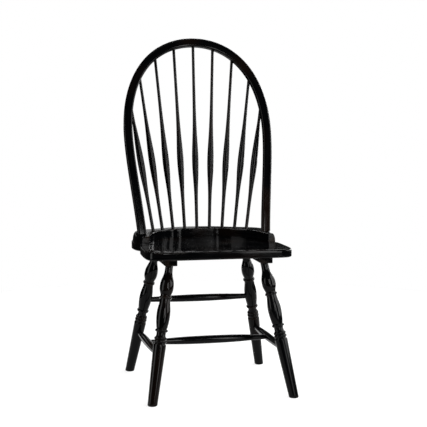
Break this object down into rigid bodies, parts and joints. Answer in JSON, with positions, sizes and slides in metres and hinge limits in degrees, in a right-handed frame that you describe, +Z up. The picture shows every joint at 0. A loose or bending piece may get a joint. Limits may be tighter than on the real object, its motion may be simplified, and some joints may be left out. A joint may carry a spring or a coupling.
{
  "type": "windsor chair",
  "caption": "Bow-back windsor side chair in black lacquered wood, with a saddled seat, turned legs and stretchers.",
  "frame": {"origin": "on the floor, under the middle of the chair's bounding box", "axes": "+Z up, -Y out of the front of the seat, +X towards the sitter's left"},
  "size_m": [0.488, 0.4953, 1.0972],
  "materials": {
    "black_lacquered_wood": "gloss black lacquer over close-grained hardwood",
    "zinc_plated_steel": "zinc plated"
  },
  "bodies": {
    "root": {"seat_plank": "black_lacquered_wood", "spindle_deck": "black_lacquered_wood", "left_leg_cleat": "black_lacquered_wood", "right_leg_cleat": "black_lacquered_wood", "front_left_leg": "black_lacquered_wood", "front_right_leg": "black_lacquered_wood", "back_left_leg": "black_lacquered_wood", "back_right_leg": "black_lacquered_wood", "left_side_stretcher": "black_lacquered_wood", "right_side_stretcher": "black_lacquered_wood", "cross_stretcher": "black_lacquered_wood", "rear_stretcher": "black_lacquered_wood", "back_bow": "black_lacquered_wood", "spindle_1": "black_lacquered_wood", "spindle_2": "black_lacquered_wood", "spindle_3": "black_lacquered_wood", "spindle_4": "black_lacquered_wood", "spindle_5": "black_lacquered_wood", "spindle_6": "black_lacquered_wood", "spindle_7": "black_lacquered_wood", "spindle_8": "black_lacquered_wood", "spindle_9": "black_lacquered_wood", "cleat_screws": "zinc_plated_steel", "deck_screws": "zinc_plated_steel"}
  },
  "joints": []
}
